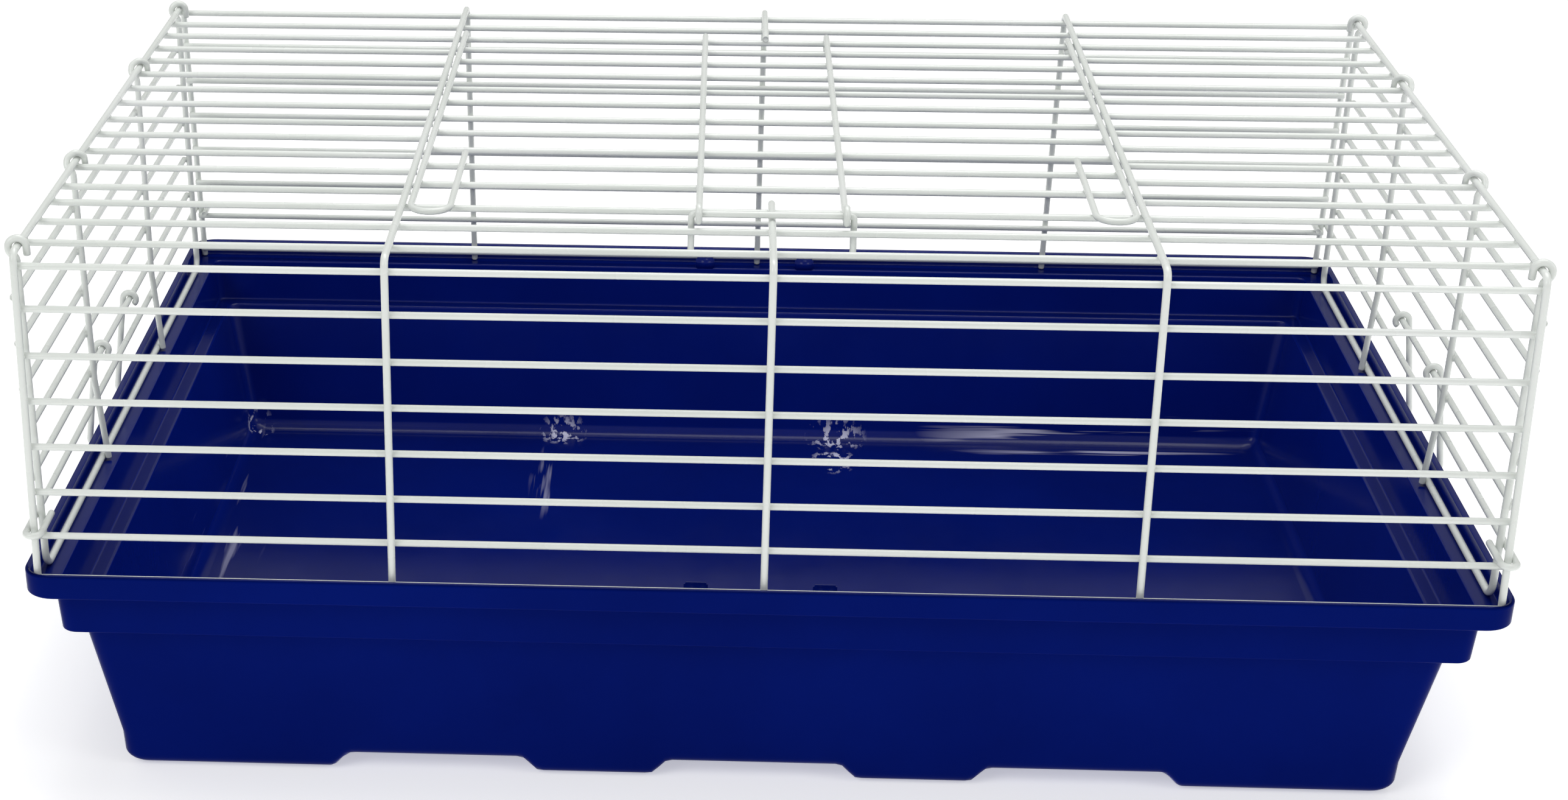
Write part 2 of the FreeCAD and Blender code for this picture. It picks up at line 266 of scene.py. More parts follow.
def tube(bm, points, r):
    """A round bar along points with softly domed ends."""
    pts = [Vector(p) for p in points]
    pts = [p for i, p in enumerate(pts) if i == 0 or (p - pts[i - 1]).length > SAME_POINT]
    first = (pts[1] - pts[0]).normalized()
    last = (pts[-1] - pts[-2]).normalized()
    stations = domed_end(pts[0], first, r, first)
    for before, here, after in zip(pts, pts[1:], pts[2:]):
        along = ((after - here).normalized() + (here - before).normalized()).normalized()
        stations.append((here, r, along))
    stations += reversed(domed_end(pts[-1], -last, r, last))
    side = first.orthogonal().normalized()
    rings = []
    for place, radius, along in stations:
        side = (side - along * side.dot(along)).normalized()
        other = along.cross(side)
        ring = []
        for k in range(RING_SIDES):
            a = 2.0 * math.pi * k / RING_SIDES
            ring.append(bm.verts.new((place + (side * math.cos(a) + other * math.sin(a)) * radius) * MM))
        rings.append(ring)
    join_rings(bm, rings)


def join_rings(bm, rings):
    """Faces between neighbouring rings, and one over each end."""
    for a, b in zip(rings, rings[1:]):
        n = len(a)
        for k in range(n):
            m = (k + 1) % n
            bm.faces.new((a[k], a[m], b[m], b[k]))
    bm.faces.new(list(reversed(rings[0])))
    bm.faces.new(rings[-1])


def bead(bm, center, normal):
    """The smooth build-up of coating where two wires are welded, normal from one to the other."""
    turn = Vector((0, 0, 1)).rotation_difference(Vector(normal)).to_matrix().to_4x4()
    size = Matrix.Diagonal((BEAD[0] * MM, BEAD[1] * MM, BEAD[2] * MM, 1.0))
    place = Matrix.Translation(Vector(center) * MM) @ turn @ size
    bmesh.ops.create_icosphere(bm, subdivisions=2, radius=1.0, matrix=place)


def piece(name, bm, material, body, nodes):
    bmesh.ops.recalc_face_normals(bm, faces=bm.faces)
    mesh = bpy.data.meshes.new(name)
    bm.to_mesh(mesh)
    bm.free()
    for p in mesh.polygons:
        p.use_smooth = True
    obj = bpy.data.objects.new(name, mesh)
    bpy.context.scene.collection.objects.link(obj)
    mesh.materials.append(material)
    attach(obj, body)
    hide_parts(*nodes)


def wire_piece(node, routes, r, body, beads=()):
    bm = bmesh.new()
    for route in routes:
        tube(bm, spread(route), r)
    for center, normal in beads:
        bead(bm, center, normal)
    piece(node + "_vis", bm, WIRE, body, [node])


# ---------------------------------------------------------------- materials

def new_material(name):
    m = bpy.data.materials.new(name)
    m.use_nodes = True
    return m, m.node_tree, m.node_tree.nodes["Principled BSDF"]


def noise(tree, scale, detail, rough, stretch=(1.0, 1.0, 1.0)):
    coord = tree.nodes.new("ShaderNodeTexCoord")
    mapping = tree.nodes.new("ShaderNodeMapping")
    mapping.inputs["Scale"].default_value = stretch
    tex = tree.nodes.new("ShaderNodeTexNoise")
    tex.inputs["Scale"].default_value = scale
    tex.inputs["Detail"].default_value = detail
    tex.inputs["Roughness"].default_value = rough
    tree.links.new(coord.outputs["Object"], mapping.inputs["Vector"])
    tree.links.new(mapping.outputs["Vector"], tex.inputs["Vector"])
    return tex.outputs["Fac"]


def ramp(tree, source, stops):
    r = tree.nodes.new("ShaderNodeValToRGB")
    while len(r.color_ramp.elements) < len(stops):
        r.color_ramp.elements.new(0.5)
    for e, (place, color) in zip(r.color_ramp.elements, stops):
        e.position = place
        e.color = (*color, 1.0)
    tree.links.new(source, r.inputs["Fac"])
    return r.outputs["Color"]


def grey(*stops):
    return [(place, (value,) * 3) for place, value in stops]


def bump(tree, shader, source, strength):
    b = tree.nodes.new("ShaderNodeBump")
    b.inputs["Strength"].default_value = strength
    b.inputs["Distance"].default_value = GRAIN_DEPTH
    tree.links.new(source, b.inputs["Height"])
    tree.links.new(b.outputs["Normal"], shader.inputs["Normal"])


def vector_math(tree, kind, first, second=None):
    node = tree.nodes.new("ShaderNodeVectorMath")
    node.operation = kind
    tree.links.new(first, node.inputs[0])
    if isinstance(second, tuple):
        node.inputs[1].default_value = second
    elif second is not None:
        tree.links.new(second, node.inputs[1])
    return node


def number_math(tree, kind, first, second):
    node = tree.nodes.new("ShaderNodeMath")
    node.operation = kind
    tree.links.new(first, node.inputs[0])
    if isinstance(second, float):
        node.inputs[1].default_value = second
    else:
        tree.links.new(second, node.inputs[1])
    return node.outputs["Value"]


def split_xyz(tree, source):
    node = tree.nodes.new("ShaderNodeSeparateXYZ")
    tree.links.new(source, node.inputs["Vector"])
    return node


WIRE_TONES = [
    (0.30, (0.69, 0.725, 0.685)),
    (0.55, (0.735, 0.765, 0.73)),
    (0.80, (0.77, 0.792, 0.775))]
PLASTIC_TONES = [
    (0.30, (0.0006, 0.0080, 0.155)),
    (0.70, (0.0009, 0.0108, 0.200))]
# pale tone of the scratches and of the painted glints and painted reflections
SCRATCH_AND_GLINT_TONE = (0.62, 0.62, 0.80, 1.0)
GRAIN_DEPTH = 0.0003
# ramp stops: place and value
WIRE_ROUGH = ((0.3, 0.24), (0.7, 0.32))
TRAY_ROUGH = ((0.35, 0.13), (0.75, 0.24))
TRAY_GLOSS = ((0.04, 0.22), (0.25, 0.012))
# painted shade: up-facing faces and outer walls are darkened in the base colour to hold back the
# overhead light
LEVEL_PAINTED_SHADE = ((0.40, 1.0), (0.95, 0.64))
OUTER_PAINTED_SHADE = ((0.20, 1.0), (0.50, 0.66))
PATCH_EDGE = ((0.45, 1.0), (1.0, 0.0))
INNER_SIDE = ((0.05, 1.0), (0.20, 0.0))
SCRATCH_STRENGTH = 0.35
# strength of the painted glints and the painted reflections
GLINT_STRENGTH = 0.85
MARKS_ABOVE = 0.008
OUTWARD_SCALE = (3.7, 5.5, 0.0)

# center and reach in metres, noise scale, stretch, first and full tone
SCRATCHES = (
    ((-0.240, 0.060, 0.010), (0.024, 0.110, 0.030), 150.0, (1.0, 0.05, 1.0), 0.60, 0.70),
    ((-0.095, 0.100, 0.009), (0.012, 0.045, 0.020), 150.0, (1.0, 0.06, 1.0), 0.58, 0.66))
# painted glints: small highlights painted as pale spots into the base colour
GLINT_SPOTS = (
    ((-0.2450, 0.150, 0.012), (0.010, 0.010, 0.010), 300.0, (1.0, 0.6, 0.6), 0.54, 0.60),
    ((-0.0925, 0.150, 0.012), (0.013, 0.010, 0.010), 300.0, (1.0, 0.6, 0.6), 0.52, 0.58),
    ((0.0420, 0.150, 0.012), (0.016, 0.012, 0.010), 300.0, (1.0, 0.6, 0.6), 0.52, 0.58),
    ((0.0400, 0.128, 0.009), (0.012, 0.016, 0.010), 240.0, (1.0, 0.6, 0.6), 0.58, 0.64))
# painted reflections: bands of reflected light painted pale along the rear inner fillet
REFLECTION_BANDS = (
    ((0.165, 0.152, 0.014), (0.085, 0.020, 0.014), 170.0, (0.035, 1.0, 1.0), 0.54, 0.60),)


def wire_material():
    m, tree, p = new_material("coated_wire")
    tint = ramp(tree, noise(tree, scale=14.0, detail=2.0, rough=0.5), WIRE_TONES)
    tree.links.new(tint, p.inputs["Base Color"])
    rough = ramp(tree, noise(tree, scale=40.0, detail=2.0, rough=0.5), grey(*WIRE_ROUGH))
    tree.links.new(rough, p.inputs["Roughness"])
    p.inputs["Specular IOR Level"].default_value = 0.5
    p.inputs["Coat Weight"].default_value = 0.35
    p.inputs["Coat Roughness"].default_value = 0.12
    bump(tree, p, noise(tree, scale=240.0, detail=2.0, rough=0.5), strength=0.05)
    return m


def marks(tree, center, reach, scale, stretch, low, high):
    """Pale streaks inside one oval patch: scratches of wear, or painted glints and painted reflections.
    """
    coord = tree.nodes.new("ShaderNodeTexCoord")
    away = vector_math(tree, "SUBTRACT", coord.outputs["Object"], center)
    share = vector_math(tree, "DIVIDE", away.outputs["Vector"], reach)
    size = vector_math(tree, "LENGTH", share.outputs["Vector"])
    inside = ramp(tree, size.outputs["Value"], grey(*PATCH_EDGE))
    pattern = noise(tree, scale, detail=3.0, rough=0.6, stretch=stretch)
    streaks = ramp(tree, pattern, grey((low, 0.0), (high, 1.0)))
    return number_math(tree, "MULTIPLY", inside, streaks)


def all_marks(tree, coord, outward):
    """Every patch of scratches, painted glints and painted reflections, kept to the inside of the tray.
    """
    scratches_and_glints = None
    for patch in SCRATCHES + GLINT_SPOTS + REFLECTION_BANDS:
        strength = SCRATCH_STRENGTH if patch in SCRATCHES else GLINT_STRENGTH
        mark = number_math(tree, "MULTIPLY", marks(tree, *patch), strength)
        scratches_and_glints = mark if scratches_and_glints is None else number_math(tree, "MAXIMUM", scratches_and_glints, mark)
    place = split_xyz(tree, coord.outputs["Object"])
    above = number_math(tree, "GREATER_THAN", place.outputs["Z"], MARKS_ABOVE)
    inner = ramp(tree, outward, grey(*INNER_SIDE))
    return number_math(tree, "MULTIPLY", scratches_and_glints, number_math(tree, "MULTIPLY", above, inner))


def tray_material():
    """Navy plastic, with painted shade: level faces and outer walls are darkened in the base colour, and
    outer walls are less glossy.
    """
    m, tree, p = new_material("tray_plastic")
    base = ramp(tree, noise(tree, scale=9.0, detail=5.0, rough=0.6), PLASTIC_TONES)
    coord = tree.nodes.new("ShaderNodeTexCoord")
    facing = split_xyz(tree, coord.outputs["Normal"])
    scaled = vector_math(tree, "MULTIPLY", coord.outputs["Object"], OUTWARD_SCALE)
    toward = vector_math(tree, "DOT_PRODUCT", scaled.outputs["Vector"], coord.outputs["Normal"])
    outward = toward.outputs["Value"]
    # painted shade: darker where a face points up and where it faces outward
    level = ramp(tree, facing.outputs["Z"], grey(*LEVEL_PAINTED_SHADE))
    outer = ramp(tree, outward, grey(*OUTER_PAINTED_SHADE))
    painted_shade = vector_math(tree, "MULTIPLY", level, outer)
    tone = vector_math(tree, "MULTIPLY", base, painted_shade.outputs["Vector"])
    # scratches, painted glints and painted reflections are mixed into the base colour
    mix = tree.nodes.new("ShaderNodeMixRGB")
    mix.inputs["Color2"].default_value = SCRATCH_AND_GLINT_TONE
    tree.links.new(all_marks(tree, coord, outward), mix.inputs["Fac"])
    tree.links.new(tone.outputs["Vector"], mix.inputs["Color1"])
    tree.links.new(mix.outputs["Color"], p.inputs["Base Color"])
    rough = ramp(tree, noise(tree, scale=26.0, detail=6.0, rough=0.7), grey(*TRAY_ROUGH))
    tree.links.new(rough, p.inputs["Roughness"])
    gloss = ramp(tree, outward, grey(*TRAY_GLOSS))
    tree.links.new(gloss, p.inputs["Specular IOR Level"])
    bump(tree, p, noise(tree, scale=190.0, detail=4.0, rough=0.55), strength=0.05)
    return m


WIRE = wire_material()
TRAY = tray_material()


# ---------------------------------------------------------------- bent panel

def face_y(z):
    return TOP_HALF + SPLAY * (TOP_Z - z) / PANEL_H


def hoop_y(z):
    return face_y(z) + HOOP_OFF / math.cos(LEAN)


def top_y(i):
    return TOP_HALF - FIRST_IN if i == 0 else TOP_FIRST - i * TOP_PITCH + TOP_TRIM[i]


FRONT_Z = [FRONT_FIRST - i * FACE_PITCH + trim for i, trim in enumerate(FRONT_TRIM)]
FRONT_Z.append(LEDGE_TOP + WIRE_R + FRONT_LOW)
REAR_Z = [REAR_FIRST - i * FACE_PITCH for i in range(REAR_EVEN)]
REAR_Z.append(LEDGE_TOP + WIRE_R + REAR_LOW)


def panel_beads(x, front, rear, bars):
    """Welds of one hoop or rod at x to the cross wires it passes."""
    half = HOOP_R - WELD
    out = [((x, top_y(i), TOP_Z + WIRE_R), (0, 0, 1)) for i in bars]
    if front:
        out += [((x, -face_y(z) - half, z), (0, 1, 0)) for z in FRONT_Z[1:]]
    if rear:
        out += [((x, face_y(z) + half, z), (0, 1, 0)) for z in REAR_Z]
    return out


def hoop_route(x):
    return rounded([
        (x, -hoop_y(HOOP_FOOT), HOOP_FOOT), (x, -hoop_y(HOOP_TOP), HOOP_TOP),
        (x, hoop_y(HOOP_TOP), HOOP_TOP), (x, hoop_y(HOOP_FOOT), HOOP_FOOT)], HOOP_BEND)


def half_route(x, side, y_end):
    return rounded([
        (x, side * hoop_y(HOOP_FOOT), HOOP_FOOT), (x, side * hoop_y(HOOP_TOP), HOOP_TOP),
        (x, y_end, HOOP_TOP)], HOOP_BEND)


def straight(x0, x1, y, z):
    return [Vector((x0, y, z)), Vector((x1, y, z))]


def roof_bars(node, x0, x1, bars):
    wire_piece(node, [straight(x0, x1, top_y(i), TOP_Z) for i in bars], WIRE_R, "wire_top")


def bent_panel():
    hoops = (
        ("hoop_end_left", -END_X), ("hoop_end_right", END_X),
        ("hoop_inner_left", INNER_LEFT), ("hoop_inner_right", INNER_RIGHT))
    for name, x in hoops:
        knots = panel_beads(x, True, True, range(1, FRONT_BARS.stop))
        wire_piece(name, [hoop_route(x)], HOOP_R, "wire_top", knots)
    front_end = top_y(FRONT_BARS[0]) + ROD_PAST_FRONT
    rear_end = top_y(HINGE_BAR) - ROD_PAST_REAR
    wire_piece("rod_front_centre", [half_route(MID_X, -1, front_end)], HOOP_R, "wire_top",
               panel_beads(MID_X, True, False, FRONT_BARS))
    wire_piece("rod_rear_centre", [half_route(MID_X, 1, rear_end)], HOOP_R, "wire_top",
               panel_beads(MID_X, False, True, REAR_BARS[1:]))
    reach = END_X + OVERHANG
    front = [straight(-reach, reach, -face_y(z), z) for z in FRONT_Z]
    rear = [straight(-reach, reach, face_y(z), z) for z in REAR_Z]
    wire_piece("wires_front", front, WIRE_R, "wire_top")
    wire_piece("wires_rear", rear, WIRE_R, "wire_top")
    roof_bars("wires_top_rear", -reach, reach, REAR_BARS)
    roof_bars("wires_top_front", -reach, reach, FRONT_BARS)
    roof_bars("wires_top_left", -reach, INNER_LEFT + SHORT_PAST_LEFT, DOOR_BARS)
    roof_bars("wires_top_right", INNER_RIGHT - SHORT_PAST_RIGHT, reach, DOOR_BARS)


# ---------------------------------------------------------------- side panels

def curl_points(side, x_leg, y0, travel, r):
    """Corners and bend radii of a leg's top: out under the end hoop, then wrapped over it."""
    rc = HOOP_R + r + RUN_GAP
    start = math.radians(CURL_START)
    turn = math.radians(CURL_TURN)
    sx = END_X + rc * math.cos(start)
    sz = HOOP_TOP + rc * math.sin(start)
    back = (sx - x_leg) / math.sin(turn)
    pts = [Vector((side * x_leg, y0, sz - back * math.cos(turn)))]
    radii = [CURL_NECK]
    out = rc / math.cos(turn / 2.0)
    for k in range(CURL_CORNERS):
        a = start + turn * (k + 0.5)
        y = y0 + travel * (k + 0.5) / CURL_CORNERS
        pts.append(Vector((side * (END_X + out * math.cos(a)), y, HOOP_TOP + out * math.sin(a))))
        radii.append(rc)
    pts.append(Vector((side * (END_X - rc), y0 + travel, HOOP_TOP - CURL_TAIL)))
    return pts, radii


def post_span(z):
    """Where the two posts of a side panel stand at height z."""
    t = (SIDE_FIRST + SIDE_ABOVE - z) / (SIDE_FIRST + SIDE_ABOVE - SIDE_BOTTOM)
    return POST_FRONT - POST_FRONT_LEAN * t, POST_REAR + POST_REAR_LEAN * t


def side_frame(name, side):
    x = side * SIDE_X
    front, front_bends = curl_points(side, SIDE_X, POST_FRONT, POST_TRAVEL, FRAME_R)
    rear, rear_bends = curl_points(side, SIDE_X, POST_REAR, POST_TRAVEL, FRAME_R)
    low = [
        (x, POST_FRONT - POST_FRONT_LEAN, SIDE_BOTTOM),
        (x, POST_REAR + POST_REAR_LEAN, SIDE_BOTTOM)]
    bends = front_bends[::-1] + [SIDE_CORNER, SIDE_CORNER] + rear_bends
    wire_piece("side_frame_" + name, [rounded(front[::-1] + low + rear, bends)], FRAME_R, "wire_top")


def side_uprights(name, side):
    x_leg = SIDE_X + FRAME_R - WIRE_R
    x_foot = side * (SIDE_X - FRAME_R - WIRE_R + WELD - FOOT_IN)
    legs = []
    for top, bottom in UPRIGHTS:
        curl, bends = curl_points(side, x_leg, top, UPRIGHT_TRAVEL, WIRE_R)
        t = UPRIGHT_KNEE / (curl[0].z - SIDE_BOTTOM)
        knee = (side * x_leg, bottom + (top - bottom) * t, SIDE_BOTTOM + UPRIGHT_KNEE)
        foot = (x_foot, bottom, LEDGE_TOP + FOOT_LIFT)
        legs.append(rounded([foot, knee] + curl, [KNEE_BEND] + bends))
    wire_piece("side_uprights_" + name, legs, WIRE_R, "wire_top")


def side_wires(name, side):
    lines = []
    knots = []
    for z in SIDE_LEVELS:
        y0, y1 = post_span(z)
        x = side * SIDE_OUT
        lines.append([Vector((x, y0 - OVERHANG, z)), Vector((x, y1 + OVERHANG, z))])
        t = (z - SIDE_BOTTOM) / (HOOP_TOP - UPRIGHT_DROP - SIDE_BOTTOM)
        crossings = [y0, y1] + [bottom + (top - bottom) * t for top, bottom in UPRIGHTS]
        knots += [((side * (SIDE_X + FRAME_R), y, z), (1, 0, 0)) for y in crossings]
    wire_piece("side_wires_" + name, lines, WIRE_R, "wire_top", knots)


def side_hook(name, side):
    z0 = HOOK_Z - HOOK_RISE
    z1 = HOOK_Z + HOOK_RISE
    xo = side * SIDE_OUT
    xi = side * (SIDE_OUT - 2.0 * HOOK_R)
    front = -hoop_y(z0)
    rear = hoop_y(z1)
    route = rounded([
        (xi, front + HOOK_FRONT_END, z0), (xi, front - HOOK_PAST, z0), (xo, front - HOOK_PAST, z0),
        (xo, rear + HOOK_PAST, z1), (xi, rear + HOOK_PAST, z1), (xi, rear - HOOK_REAR_END, z1)],
        HOOK_R - SNUG)
    wire_piece("side_hook_" + name, [route], WIRE_R, "wire_top")


# ---------------------------------------------------------------- door and catch

def arc_run(x, y, z, r, first, last, steps):
    """Points on an arc about a line along X through y, z. Angles are in degrees from +Y."""
    angles = [math.radians(first + (last - first) * k / steps) for k in range(steps + 1)]
    return [Vector((x, y + r * math.cos(a), z + r * math.sin(a))) for a in angles]


def hinge_curl(x):
    return arc_run(x, top_y(HINGE_BAR), TOP_Z, DOOR_Z - TOP_Z, HINGE_OPEN, HINGE_TOP, HINGE_STEPS)


def door_side_rods():
    routes = []
    for side in (-1, 1):
        x = DOOR_SIDE_SHIFT + side * DOOR_HALF
        x_back = x - side * RETURN_GAP
        loop = rounded([
            (x, top_y(HINGE_BAR), DOOR_Z), (x, DOOR_FRONT, DOOR_Z), (x_back, DOOR_FRONT, DOOR_Z),
            (x_back, RETURN_END, DOOR_Z)], RETURN_GAP / 2.0 - SNUG)
        routes.append(hinge_curl(x)[:-1] + loop)
    wire_piece("door_side_rods", routes, WIRE_R, "door")


def door_mid_rods():
    routes = []
    for side in (-1, 1):
        x = DOOR_SHIFT + side * DOOR_MID
        eye = arc_run(x, CATCH_Y, CATCH_Z, CATCH_Z - DOOR_Z, EYE_LEG, CATCH_EYE_END, EYE_STEPS)
        routes.append(hinge_curl(x) + eye)
    wire_piece("door_mid_rods", routes, WIRE_R, "door")


def door_wires():
    z = DOOR_Z - 2.0 * WIRE_R + WELD
    x0 = DOOR_SHIFT - DOOR_HALF - DOOR_PAST
    x1 = DOOR_SHIFT + DOOR_HALF + DOOR_PAST
    rows = [TOP_FIRST - i * TOP_PITCH + trim for i, trim in zip(DOOR_BARS, DOOR_TRIM)]
    knots = []
    for y in rows:
        for side in (-1, 1):
            crossings = [DOOR_SIDE_SHIFT + side * DOOR_HALF, DOOR_SHIFT + side * DOOR_MID]
            if y < RETURN_END - RETURN_CLEAR:
                crossings.append(DOOR_SIDE_SHIFT + side * (DOOR_HALF - RETURN_GAP))
            knots += [((x, y, z + WIRE_R), (0, 0, 1)) for x in crossings]
    wire_piece("door_wires", [straight(x0, x1, y, z) for y in rows], WIRE_R, "door", knots)


def door_catch():
    tip = CATCH_Z - CATCH_LEG
    left = DOOR_SHIFT - CATCH_HALF
    right = DOOR_SHIFT + CATCH_HALF
    route = rounded([
        (left, CATCH_Y, tip), (left, CATCH_Y, CATCH_Z),
        (right, CATCH_Y, CATCH_Z), (right, CATCH_Y, tip)], CATCH_BEND)
    wire_piece("door_catch", [route], CATCH_R, "catch")


# ---------------------------------------------------------------- side clips

def clip(name, side):
    lean = math.radians(CLIP_LEAN)
    eye = 2.0 * WIRE_R + RUN_GAP
    toe = eye - CLIP_TOE

    def at(down, out, y):
        x = SIDE_OUT + math.sin(lean) * down + math.cos(lean) * out
        z = SIDE_LEVELS[-1] - math.cos(lean) * down + math.sin(lean) * out
        return Vector((side * x, y, z))

    def curl(y, first, last):
        angles = [math.radians(first + (last - first) * k / EYE_STEPS) for k in range(EYE_STEPS + 1)]
        return [at(eye * math.cos(a), -eye * math.sin(a), y) for a in angles]

    y0 = CLIP_Y - CLIP_HALF
    y1 = CLIP_Y + CLIP_HALF
    bail = rounded([
        at(0.0, eye, y0), at(CLIP_REACH, eye, y0), at(CLIP_REACH, toe, y0),
        at(CLIP_REACH, toe, y1), at(CLIP_REACH, eye, y1), at(0.0, eye, y1)], CLIP_BEND)
    route = curl(y0, CLIP_EYE_END, EYE_LEG)[:-1] + bail + curl(y1, EYE_LEG, CLIP_EYE_END)[1:]
    wire_piece("clip_" + name, [route], WIRE_R, "clip_" + name)


# ---------------------------------------------------------------- tray

def wall_inset(z):
    return WALL_BOT_IN + (WALL_TOP_IN - WALL_BOT_IN) * z / COLLAR_BOTTOM


def profile():
    """Inner floor to lip to underside as (inset, z, plan corner radius, whether it stands on feet)."""
    t = WALL_T
    step = COLLAR_BOTTOM + t
    throat = COLLAR_IN + t
    base = wall_inset(FOOT_H)
    # inset, z, plan corner, on feet, bend
    keys = [
        (FLAT_IN, FLOOR_TOP, FLAT_CORNER, False, 0.0),
        (wall_inset(FLOOR_TOP) + t, FLOOR_TOP, WELL_CORNER, False, FLOOR_ROUND),
        (wall_inset(step) + t, step, WELL_CORNER, False, 1.2),
        (throat + COLLAR_TAPER, step, THROAT_CORNER, False, 0.9),
        (throat + THROAT_STEP, LEDGE_TOP, THROAT_CORNER, False, 0.8),
        (LIP_T, LEDGE_TOP, LIP_IN_CORNER, False, 0.7),
        (LIP_T, LIP_TOP, LIP_IN_CORNER, False, 0.8),
        (0.0, LIP_TOP, LIP_CORNER, False, 1.0),
        (0.0, LIP_BOTTOM, LIP_CORNER, False, 0.9),
        (COLLAR_IN, LIP_BOTTOM, COLLAR_CORNER, False, 0.7),
        (COLLAR_IN + COLLAR_TAPER, COLLAR_BOTTOM, COLLAR_CORNER, False, 0.9),
        (wall_inset(COLLAR_BOTTOM), COLLAR_BOTTOM, WALL_CORNER, False, 0.8),
        (wall_inset(BASE_TOP), BASE_TOP, WALL_CORNER, False, 0.0),
        (base, FOOT_H, WALL_CORNER, True, BASE_ROUND),
        (base + FOOT_DEPTH, FOOT_H, FOOT_CORNER, True, 0.0),
        (base + FOOT_FADE, FOOT_H, FLAT_CORNER, False, 0.0),
        (FLAT_IN, FOOT_H, FLAT_CORNER, False, 0.0)]
    out = [keys[0][:4]]
    for before, here, after in zip(keys, keys[1:], keys[2:]):
        bend = here[4]
        if bend == 0.0:
            out.append(here[:4])
            continue
        corner = Vector((here[0], here[1], 0.0))
        back = (Vector((before[0], before[1], 0.0)) - corner).normalized()
        on = (Vector((after[0], after[1], 0.0)) - corner).normalized()
        turned = rounded([corner + back * FAR, corner, corner + on * FAR], bend)[1:-1]
        out += [(p.x, p.y, here[2], here[3]) for p in turned]
    out.append(keys[-1][:4])
    return out


def window(v, spans):
    """1 inside a span, falling to 0 over FOOT_SLOPE beyond each end of it."""
    inside = [min(v - a + FOOT_SLOPE, b + FOOT_SLOPE - v) / FOOT_SLOPE for a, b in spans]
    return min(1.0, max(0.0, max(inside)))


def foot_share(x, y):
    """1 over a foot, 0 over a recess, with an S-shaped shoulder between, all round the base."""
    ax = abs(x)
    ay = abs(y)
    base_x = TRAY_X - WALL_BOT_IN
    base_y = TRAY_Y - WALL_BOT_IN
    long_edge = ay > base_y - FEET_BAND and ax < base_x - FEET_END
    s = window(ax, FEET_X) if long_edge else window(ay, FEET_Y)
    return s * s * (3.0 - 2.0 * s)


def ring_points(inset, corner):
    """One closed ring of the tray seen from above, from the front right corner."""
    hx = TRAY_X - inset - corner
    hy = TRAY_Y - inset - corner
    arcs = []
    for sx, sy, start in ((1, -1, -90.0), (1, 1, 0.0), (-1, 1, 90.0), (-1, -1, 180.0)):
        angles = [math.radians(start + 90.0 * k / CORNER_STEPS) for k in range(CORNER_STEPS + 1)]
        arcs.append([(sx * hx + corner * math.cos(a), sy * hy + corner * math.sin(a)) for a in angles])
    out = []
    for i, arc in enumerate(arcs):
        steps = LONG_STEPS if i % 2 else SHORT_STEPS
        xa, ya = arc[-1]
        xb, yb = arcs[(i + 1) % 4][0]
        out += arc
        out += [(xa + (xb - xa) * k / steps, ya + (yb - ya) * k / steps) for k in range(1, steps)]
    return out


def tray_tabs(bm):
    tab_y = TRAY_Y - COLLAR_IN - TAB_BACK - TAB_T / 2.0
    tab_z = LEDGE_TOP + (TAB_H - TAB_SUNK) / 2.0
    size = Matrix.Diagonal((TAB_W * MM, TAB_T * MM, (TAB_H + TAB_SUNK) * MM, 1.0))
    for sx in (-1, 1):
        for sy in (-1, 1):
            place = Matrix.Translation(Vector((sx * TAB_X, sy * tab_y, tab_z)) * MM)
            made = bmesh.ops.create_cube(bm, size=1.0, matrix=place @ size)
            edges = {e for v in made["verts"] for e in v.link_edges}
            bmesh.ops.bevel(bm, geom=list(edges), offset=TAB_ROUND * MM, segments=3, affect="EDGES")


def tray_piece():
    bm = bmesh.new()
    rings = []
    for inset, z, corner, on_feet in profile():
        ring = []
        for x, y in ring_points(inset, corner):
            drop = FOOT_H * foot_share(x, y) if on_feet else 0.0
            ring.append(bm.verts.new((x * MM, y * MM, (z - drop) * MM)))
        rings.append(ring)
    join_rings(bm, rings)
    tray_tabs(bm)
    piece("tray_vis", bm, TRAY, "tray", ["tray"])


bent_panel()
for name, side in (("left", -1), ("right", 1)):
    side_frame(name, side)
    side_uprights(name, side)
    side_wires(name, side)
    side_hook(name, side)
door_side_rods()
door_mid_rods()
door_wires()
door_catch()
for name, side in (("left", -1), ("right", 1)):
    clip(name, side)
tray_piece()


# ---------------------------------------------------------------- floor, light and camera, in metres

FLOOR_HALF = 40.0
FLOOR_DROP = 0.0004
FLOOR_TONE = (0.90, 0.90, 0.90, 1.0)
FLOOR_GLOW = 0.45
WHITE = (1.0, 1.0, 1.0, 1.0)
SKY_STRENGTH = 0.40
CAMERA_PLACE = (-0.02027, -1.058694, 0.553176)
CAMERA_TURN = (62.72044, 0.09478, 2.89512)
CAMERA_LENS = 61.5646
CAMERA_SHIFT_X = 0.12799
CAMERA_SHIFT_Y = 0.11498


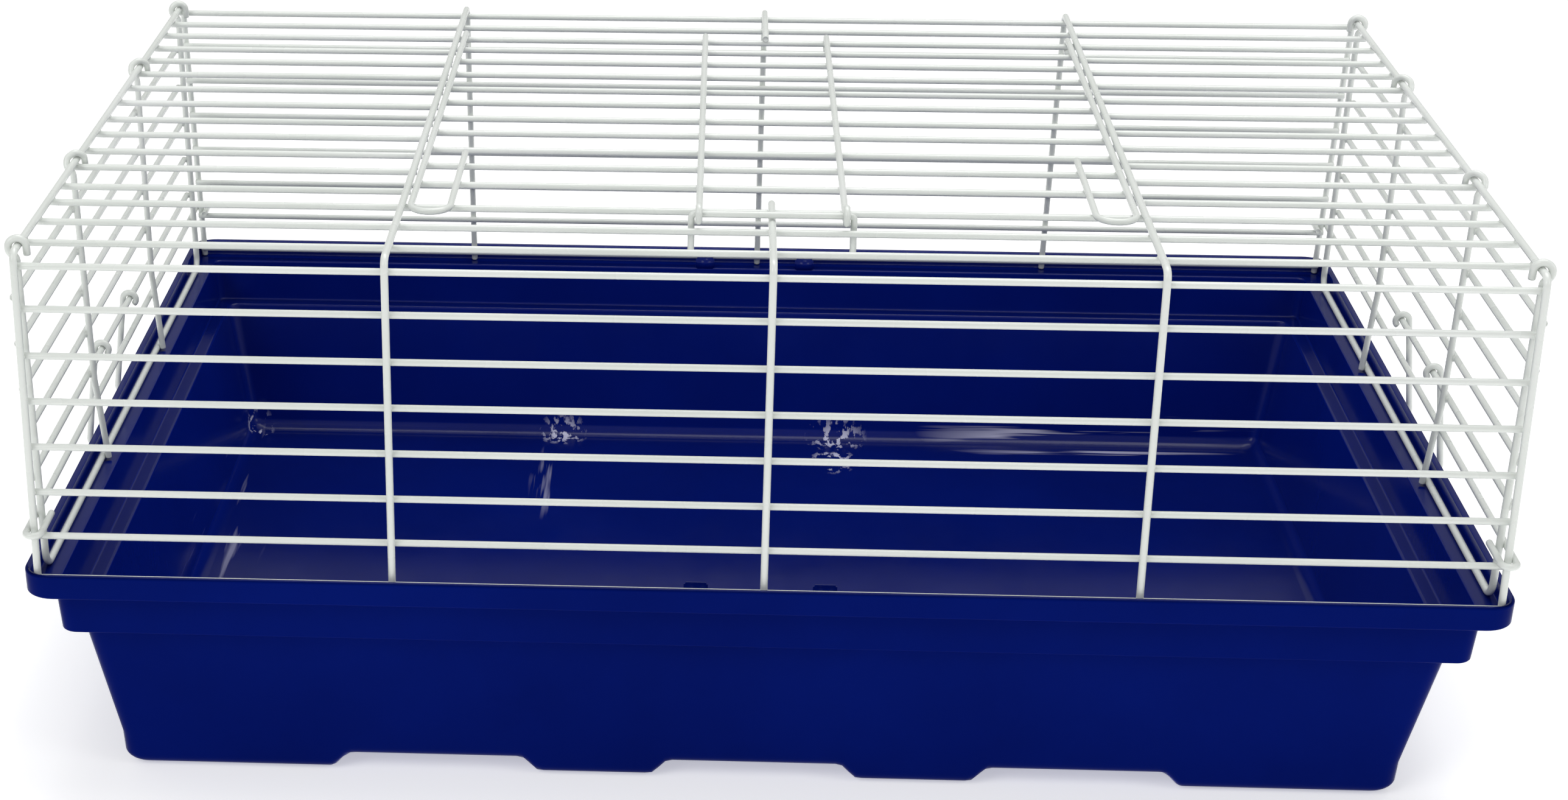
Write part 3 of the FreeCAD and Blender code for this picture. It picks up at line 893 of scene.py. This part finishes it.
def studio_floor():
    h = FLOOR_HALF
    mesh = bpy.data.meshes.new("floor")
    mesh.from_pydata([(-h, -h, 0), (h, -h, 0), (h, h, 0), (-h, h, 0)], [], [(0, 1, 2, 3)])
    floor = bpy.data.objects.new("floor", mesh)
    bpy.context.scene.collection.objects.link(floor)
    floor.location.z = -FLOOR_DROP
    material, _, p = new_material("floor")
    p.inputs["Base Color"].default_value = FLOOR_TONE
    p.inputs["Roughness"].default_value = 1.0
    p.inputs["Specular IOR Level"].default_value = 0.0
    p.inputs["Emission Color"].default_value = WHITE
    p.inputs["Emission Strength"].default_value = FLOOR_GLOW
    mesh.materials.append(material)


def sky():
    world = bpy.data.worlds.new("studio")
    bpy.context.scene.world = world
    world.use_nodes = True
    background = world.node_tree.nodes["Background"]
    background.inputs["Color"].default_value = WHITE
    background.inputs["Strength"].default_value = SKY_STRENGTH


def area(name, place, target, size, power):
    data = bpy.data.lights.new(name, "AREA")
    data.shape = "RECTANGLE"
    data.size, data.size_y = size
    data.energy = power
    obj = bpy.data.objects.new(name, data)
    bpy.context.scene.collection.objects.link(obj)
    obj.location = place
    obj.rotation_euler = (Vector(target) - Vector(place)).to_track_quat("-Z", "Y").to_euler()


def photo_camera():
    data = bpy.data.cameras.new("camera")
    camera = bpy.data.objects.new("camera", data)
    bpy.context.scene.collection.objects.link(camera)
    data.sensor_width = 36.0
    data.lens = CAMERA_LENS
    data.shift_x = CAMERA_SHIFT_X
    data.shift_y = CAMERA_SHIFT_Y
    data.clip_start = 0.05
    camera.location = CAMERA_PLACE
    camera.rotation_euler = Euler([math.radians(a) for a in CAMERA_TURN], "XYZ")
    bpy.context.scene.camera = camera


studio_floor()
sky()
area("overhead", place=(0.15, 0.25, 1.7), target=(0.0, 0.0, 0.1), size=(1.4, 1.0), power=17.0)
area("front_left", place=(-1.3, -1.5, 1.5), target=(0.0, 0.0, 0.15), size=(1.1, 1.1), power=13.0)
area("front_right", place=(1.6, -0.9, 1.0), target=(0.0, 0.0, 0.15), size=(0.8, 0.8), power=5.0)
photo_camera()
bpy.context.scene.view_settings.view_transform = "Standard"
